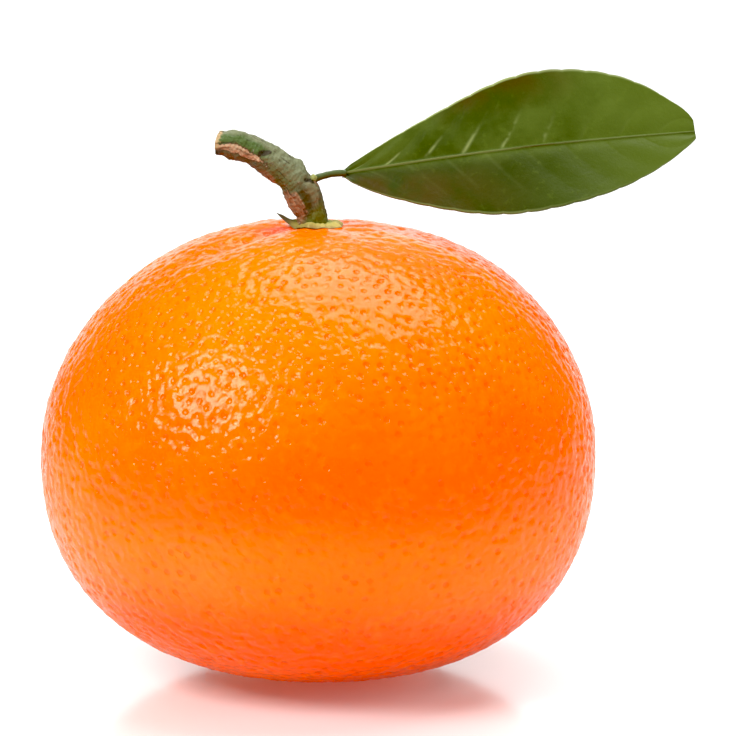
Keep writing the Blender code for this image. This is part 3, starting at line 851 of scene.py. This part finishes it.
def petiole_finish():
    finish, tree, shader = new_finish("petiole_skin")
    place = object_place(tree)
    grain = speckle(tree, place, 0.0006, 3.0)
    base = blend_colours(tree, grain, *STALK_GREEN)
    under = fade(tree, read_note(tree, "up"), 0.2, -0.6)
    base = blend_colours(tree, times(tree, under, 0.75), base, STALK_SHADE)
    lay_finish(tree, shader, base, fade(tree, grain, 0.2, 0.8, 0.42, 0.6), grain, 0.00006)
    return finish


def bud_finish():
    finish, tree, shader = new_finish("bud_scales")
    place = object_place(tree)
    grain = speckle(tree, place, 0.0004, 3.0)
    base = blend_colours(tree, grain, *BUD_GREEN)
    lay_finish(tree, shader, base, fade(tree, grain, 0.2, 0.8, 0.5, 0.7), grain, 0.0001)
    return finish


petiole_mesh = tube_mesh("leaf_stalk", PETIOLE_LINE, STALK_SIDES, STALK_STEPS)
stalk_points = mesh_points(petiole_mesh)
stalk_normals = mesh_normals(petiole_mesh)
from_top = angle_between(np.arctan2(stalk_normals[:, 1], stalk_normals[:, 2]), 0.0)
stalk_rise = -STALK_GROOVE * bell(from_top, 0.4) + STALK_BUMPS * cloud(stalk_points, 0.0008, 21)
move_points(petiole_mesh, stalk_points + stalk_normals * stalk_rise[:, None])
note_points(petiole_mesh, "up", stalk_normals[:, 2])
petiole_mesh.materials.append(petiole_finish())
leaf_stalk = show("leaf_stalk", petiole_mesh)
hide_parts("petiole")
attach(leaf_stalk, "root")

bud_mesh = ball_mesh("side_bud", BUD_CELLS)
bud_ball = mesh_points(bud_mesh)
bud_heading = np.arctan2(bud_ball[:, 1], bud_ball[:, 0])
scale_edge = 1.0 + 0.09 * np.sign(np.sin(1.5 * bud_heading + 4.0 * bud_ball[:, 2]))
bud_ball[:, :2] *= (scale_edge * (1.0 - 0.45 * ease(bud_ball[:, 2])))[:, None]
move_points(bud_mesh, BUD_PLACE + bud_ball * BUD_SIZE)
bud_mesh.shade_smooth()
bud_mesh.materials.append(bud_finish())
side_bud = show("side_bud", bud_mesh)
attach(side_bud, "root")


# The leaf: one waxy blade, folded a little along its midrib and arched, with side veins
# that puff the blade up between them and a finely notched margin. It is jointed to the stalk.
LEAF_BASE = Vector((0.0031, 0.0, 0.06187))
LEAF_TIP = Vector((0.04634, 0.0040, 0.0665))
LEAF_TILT = math.radians(28)
LEAF_THICKNESS = 0.00072
BLADE_SHARE = 0.42
VEIN_SHARE = 0.10
LEAF_NECK = 0.00045
TIP_BLUNT = 0.0005
UPPER_WIDTH = 0.0090
UPPER_SWELL = (1.45, 0.68)
LOWER_WIDTH = 0.0083
LOWER_SWELL = (1.02, 0.75)
LEAF_FOLD = math.radians(6)
LEAF_ARCH = 0.0015
VEIN_PAIRS = 9
VEIN_RELIEF = 0.00004
VEIN_SLANT = 1.4
MARGIN_NOTCHES = 15
MARGIN_NOTCH = 0.00016
MARGIN_WAVE = 0.0004
RIB_WIDTH = 0.00021
LEAF_CELLS = (300, 100)
RIB_TROUGH = 0.00012
TROUGH_WIDTH = 0.0009
RIB_RISE = 0.00016
VEIN_DEPTH = 0.00003
# Each face of the leaf: dark and light green, brown stain, midrib, side veins and painted highlights, least
# roughness
LEAF_FACE = ((0.038, 0.056, 0.0060), (0.066, 0.092, 0.0130), (0.052, 0.034, 0.0030),
             (0.110, 0.120, 0.034), (0.230, 0.270, 0.095), 0.38)
LEAF_BACK = ((0.095, 0.150, 0.035), (0.145, 0.205, 0.065), (0.120, 0.110, 0.030),
             (0.270, 0.310, 0.120), (0.270, 0.320, 0.130), 0.55)


def flat_grid(name, cells, half_width):
    """A level square of even cells round the middle."""
    shape = bmesh.new()
    bmesh.ops.create_grid(shape, x_segments=cells[0], y_segments=cells[1], size=half_width)
    return keep_shape(shape, name)


def leaf_axes():
    """Along the leaf, across it to its upper edge, and out of its upper face."""
    onward = (LEAF_TIP - LEAF_BASE).normalized()
    level = onward.cross(Vector((0, 0, 1))).normalized()
    upright = level.cross(onward)
    upward = upright * math.cos(LEAF_TILT) - level * math.sin(LEAF_TILT)
    return np.array(onward), np.array(upward), np.array(onward.cross(upward))


def leaf_half_width(along, side):
    """The blade's width on one side of its midrib, with the notches of its margin."""
    upper = np.sin(np.pi * along ** UPPER_SWELL[0]) ** UPPER_SWELL[1]
    lower = np.sin(np.pi * along ** LOWER_SWELL[0]) ** LOWER_SWELL[1]
    swell = np.where(side > 0, upper, lower)
    width = np.where(side > 0, UPPER_WIDTH, LOWER_WIDTH)
    tooth = 1.0 - np.abs(np.sin(np.pi * MARGIN_NOTCHES * along + side)) ** 0.5
    neck = LEAF_NECK * (0.35 + 0.65 * ease(along / 0.02))
    neck = neck + TIP_BLUNT * ease((along - 0.93) / 0.06) * np.where(side > 0, 1.0, 0.0)
    return neck + width * swell - MARGIN_NOTCH * tooth * swell * side ** 4


def vein_phase(along, reach):
    """A whole number on each side vein, which leaves the midrib aslant and bends to the tip."""
    return VEIN_PAIRS * along - VEIN_SLANT * (0.75 * reach + 0.25 * reach ** 2)


def leaf_places(along, side):
    """Points of the blade's upper face, side running from -1 to 1 across it."""
    onward, upward, outward = leaf_axes()
    reach = np.abs(side)
    half = leaf_half_width(along, side) * reach
    across = np.sign(side) * half * math.cos(LEAF_FOLD)
    arch = LEAF_ARCH * np.sin(np.pi * along)
    wave = MARGIN_WAVE * reach ** 2 * np.sin(2.0 * np.pi * 2.2 * along + side)
    phase = vein_phase(along, reach) + np.where(side > 0, 0.0, 0.42)
    vein = bell(phase - np.round(phase), 0.055) * ease(1.0 - reach)
    pillow = VEIN_RELIEF * np.cos(2.0 * np.pi * (phase - 0.5)) * ease(4.0 * reach) * (1.0 - reach ** 4)
    rib = bell(half, RIB_WIDTH * (1.0 - 0.55 * along))
    lift = half * math.sin(LEAF_FOLD) + arch + wave * np.sin(np.pi * along) + pillow
    lift += -RIB_TROUGH * bell(half, TROUGH_WIDTH) + RIB_RISE * rib - VEIN_DEPTH * vein
    run_on = (LEAF_TIP - LEAF_BASE).length * along
    points = np.array(LEAF_BASE) + np.outer(run_on, onward) + np.outer(across, upward)
    return points + np.outer(lift, outward), vein * (1.0 - rib), rib


def leaf_skin(name, dark, light, blush, rib_colour, vein_and_highlight_colour, gloss):
    """Waxy green blade: mottled, with paler veins and a brown blush near its base, painted shade on its lower
    half and painted highlights on short vein dashes and along its upper edge.
    """
    finish, tree, shader = new_finish(name)
    place = object_place(tree)
    along = read_note(tree, "along")
    side = read_note(tree, "side")
    mottle = speckle(tree, place, 0.0045, 4.0, 0.55)
    flecks = speckle(tree, place, 0.0009, 3.0, 0.6)
    base = blend_colours(tree, fade(tree, mottle, 0.3, 0.7), dark, light)
    # The lower half is darkened with painted shade; towards the tip the blade is paler, and it has pale
    # flecks
    for share, tint in ((fade(tree, side, 0.02, -0.25, 0.0, 0.7), 0.66 * np.array(dark)),
                        (fade(tree, along, 0.45, 0.95, 0.0, 0.75), 1.25 * np.array(light)),
                        (fade(tree, flecks, 0.55, 0.72, 0.0, 0.20), 1.5 * np.array(light))):
        base = blend_colours(tree, share, base, tint)
    low_base = times(tree, fade(tree, side, 0.05, -0.6), fade(tree, along, 0.60, 0.15))
    midway = times(tree, fade(tree, along, 0.25, 0.38), fade(tree, along, 0.75, 0.48))
    top_edge = times(tree, fade(tree, side, 0.45, 0.9), midway)
    stain = times(tree, maths(tree, "ADD", low_base, top_edge), fade(tree, mottle, 0.25, 0.6))
    base = blend_colours(tree, times(tree, stain, 0.9), base, blush)
    # Faint pale veins all over, and short pale dashes on the upper half near the midrib that are painted
    # glints
    vein = read_note(tree, "vein")
    broken = times(tree, vein, fade(tree, speckle(tree, place, 0.0022, 2.0), 0.40, 0.56))
    short = times(tree, fade(tree, side, 0.0, 0.08), fade(tree, side, 0.50, 0.26))
    near_stalk = fade(tree, along, 0.64, 0.5, 0.06, 1.0)
    veins_and_glints = times(tree, maths(tree, "MULTIPLY_ADD", short, 0.62, 0.08), near_stalk)
    base = blend_colours(tree, times(tree, broken, veins_and_glints), base, vein_and_highlight_colour)
    to_tip = fade(tree, along, 0.25, 0.95, 0.9, 0.35)
    rib_share = times(tree, fade(tree, read_note(tree, "rib"), 0.35, 0.8), to_tip)
    browned = fade(tree, maths(tree, "ABSOLUTE", maths(tree, "SUBTRACT", along, 0.58)), 0.14, 0.04)
    browned = times(tree, browned, fade(tree, mottle, 0.35, 0.6))
    rib_tint = blend_colours(tree, browned, rib_colour, blush)
    base = blend_colours(tree, rib_share, base, rib_tint)
    # A painted highlight along the upper edge near the stalk
    edge = fade(tree, maths(tree, "ABSOLUTE", side), 0.955, 0.985)
    upper = fade(tree, side, 0.8, 0.9, 0.45, 0.95)
    lit_edge = times(tree, upper, fade(tree, along, 0.62, 0.45, 0.45, 1.0))
    base = blend_colours(tree, times(tree, edge, lit_edge), base, vein_and_highlight_colour)
    pores = speckle(tree, place, 0.00035, 2.0)
    height = maths(tree, "MULTIPLY_ADD", flecks, 0.8, times(tree, pores, 0.3))
    lay_finish(tree, shader, base, fade(tree, mottle, 0.2, 0.8, gloss, gloss + 0.14), height, 0.00006)
    set_sockets(shader, {"Specular IOR Level": 0.16})
    return finish


leaf_mesh = flat_grid("leaf_blade", LEAF_CELLS, 1.0)
sheet = mesh_points(leaf_mesh)
even = 0.5 + 0.5 * sheet[:, 0]
leaf_along = 0.002 + 0.995 * (0.5 * even + 0.5 * ease(even))
leaf_side = sheet[:, 1] * (0.35 + 0.65 * np.abs(sheet[:, 1]))
blade_points, leaf_vein, leaf_rib = leaf_places(leaf_along, leaf_side)
move_points(leaf_mesh, blade_points)
for note, values in (("along", leaf_along), ("side", leaf_side), ("vein", leaf_vein), ("rib", leaf_rib)):
    note_points(leaf_mesh, note, values)
leaf_mesh.shade_smooth()
leaf_mesh.materials.append(leaf_skin("leaf_face", *LEAF_FACE))
leaf_mesh.materials.append(leaf_skin("leaf_back", *LEAF_BACK))
leaf_blade = show("leaf_blade", leaf_mesh)
body_share = leaf_blade.vertex_groups.new(name="body")
leaf_body = BLADE_SHARE + (1.0 - BLADE_SHARE) * np.sqrt(leaf_rib) * (1.0 - 0.6 * leaf_along)
leaf_body += VEIN_SHARE * leaf_vein
for index, share in enumerate(np.clip(leaf_body, 0.0, 1.0)):
    body_share.add([index], float(share), "REPLACE")
skin = leaf_blade.modifiers.new("thickness", "SOLIDIFY")
skin.vertex_group = "body"
skin.thickness = LEAF_THICKNESS
skin.offset = -1.0
skin.material_offset = 1
skin.material_offset_rim = 0
solid_blade = settled_mesh(leaf_blade)
leaf_blade.modifiers.clear()
leaf_blade.data = solid_blade
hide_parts("leaf")
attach(leaf_blade, "root")


# The table: a wide pale glossy sheet under the fruit, which shows a soft reflection.
# It is a stage for the picture and no part of the object.
TABLE_SIZE = 4.0
TABLE_DROP = 0.00003
TABLE_WHITE = ((0.815, 0.815, 0.817), (0.825, 0.825, 0.825))
TABLE_GLOW = 0.058


def table_finish():
    finish, tree, shader = new_finish("pale_table")
    place = object_place(tree)
    haze = speckle(tree, place, 0.02, 2.0)
    base = blend_colours(tree, haze, *TABLE_WHITE)
    tree.links.new(base, shader.inputs["Base Color"])
    tree.links.new(fade(tree, haze, 0.0, 1.0, 0.13, 0.15), shader.inputs["Roughness"])
    set_sockets(shader, {"Specular IOR Level": 0.8, "Coat Weight": 0.3, "Coat Roughness": 0.25,
                         "Emission Color": (1.0, 1.0, 1.0, 1.0), "Emission Strength": TABLE_GLOW})
    return finish


table_mesh = flat_grid("table", (4, 4), 0.5 * TABLE_SIZE)
move_points(table_mesh, mesh_points(table_mesh) - np.array((0.0, 0.0, TABLE_DROP)))
table_mesh.materials.append(table_finish())
table = show("table", table_mesh)


# The light: a softbox high on the left in front, a wide one overhead, a soft fill from
# the right, a faint glow from the sheet under the fruit, and a white studio that is
# bright behind the fruit and dim in front of it.
FRUIT_MIDDLE = Vector((0.0, 0.0, 0.030))
# Softboxes: name, way from the fruit, distance, width, height and glow
SOFTBOXES = (
    ("left_softbox", (-0.640, -0.432, 0.635), 0.7, 0.32, 0.32, 18.0),
    ("top_softbox", (0.165, 0.214, 0.963), 0.7, 0.66, 0.46, 5.6),
)
FILL_WAY = Vector((0.66, -0.58, 0.46))
FILL_STRENGTH = 2.05
FILL_SPREAD = math.radians(60.0)
UNDERGLOW_WIDTH = 0.030
UNDERGLOW = 0.22
# The studio's glow in front and behind, and how far back the change starts and ends
STUDIO_GLOW = (0.14, 1.5)
STUDIO_EDGE = (0.81, 0.95)


def softbox(name, way, distance, width, height, glow):
    """A square light that faces the fruit from one way, of the given surface glow."""
    lamp = bpy.data.lights.new(name, "AREA")
    lamp.shape = "RECTANGLE"
    lamp.size = width
    lamp.size_y = height
    lamp.energy = glow * math.pi * width * height
    item = show(name, lamp)
    item.location = FRUIT_MIDDLE + Vector(way).normalized() * distance
    item.rotation_euler = (FRUIT_MIDDLE - item.location).to_track_quat("-Z", "Y").to_euler()


for box in SOFTBOXES:
    softbox(*box)

# Light that the white sheet carries in under the fruit, seen on its underside alone
sheet_glow = bpy.data.lights.new("sheet_glow", "AREA")
sheet_glow.shape = "DISK"
sheet_glow.size = UNDERGLOW_WIDTH
sheet_glow.energy = UNDERGLOW * math.pi * math.pi * (0.5 * UNDERGLOW_WIDTH) ** 2
under_fruit = show("sheet_glow", sheet_glow)
under_fruit.location = (0.0, 0.0, -0.3 * TABLE_DROP)
under_fruit.rotation_euler = (math.pi, 0.0, 0.0)
under_fruit.visible_camera = False
under_fruit.visible_glossy = False

fill = bpy.data.lights.new("front_fill", "SUN")
fill.energy = FILL_STRENGTH
fill.angle = FILL_SPREAD
front_fill = show("front_fill", fill)
front_fill.rotation_euler = FILL_WAY.to_track_quat("Z", "Y").to_euler()
front_fill.visible_glossy = False

studio = bpy.data.worlds.new("studio")
studio.use_nodes = True
bpy.context.scene.world = studio
sky = studio.node_tree
backdrop = sky.nodes["Background"]
view_way = add_node(sky, "ShaderNodeSeparateXYZ")
feed(sky, view_way.inputs[0], add_node(sky, "ShaderNodeTexCoord").outputs["Generated"])
glow_behind = fade(sky, view_way.outputs["Y"], *STUDIO_EDGE, *STUDIO_GLOW)
seen = add_node(sky, "ShaderNodeLightPath").outputs["Is Camera Ray"]
feed(sky, backdrop.inputs["Strength"], maths(sky, "MAXIMUM", glow_behind, seen))
backdrop.inputs["Color"].default_value = (1.0, 1.0, 1.0, 1.0)


# The camera: a long lens, a little above the fruit and straight in front of it, aimed
# so that fruit, twig and leaf stand in the picture where they stand in the photo.
CAMERA_AIM = Vector((0.0061, 0.0, 0.03775))
CAMERA_DISTANCE = 0.48
CAMERA_RISE = math.radians(9.5)
CAMERA_LENS = 191.15
BLACK_POINT = 0.02

lens = bpy.data.cameras.new("camera")
lens.lens = CAMERA_LENS
lens.sensor_width = 36.0
lens.clip_start = 0.01
camera = show("camera", lens)
camera.location = CAMERA_AIM + CAMERA_DISTANCE * Vector((0.0, -math.cos(CAMERA_RISE), math.sin(CAMERA_RISE)))
camera.rotation_euler = (math.radians(90.0) - CAMERA_RISE, 0.0, 0.0)
bpy.context.scene.camera = camera
view_settings = bpy.context.scene.view_settings
view_settings.view_transform = "Standard"
view_settings.use_curve_mapping = True
view_settings.curve_mapping.black_level = (BLACK_POINT, BLACK_POINT, BLACK_POINT)
view_settings.curve_mapping.update()
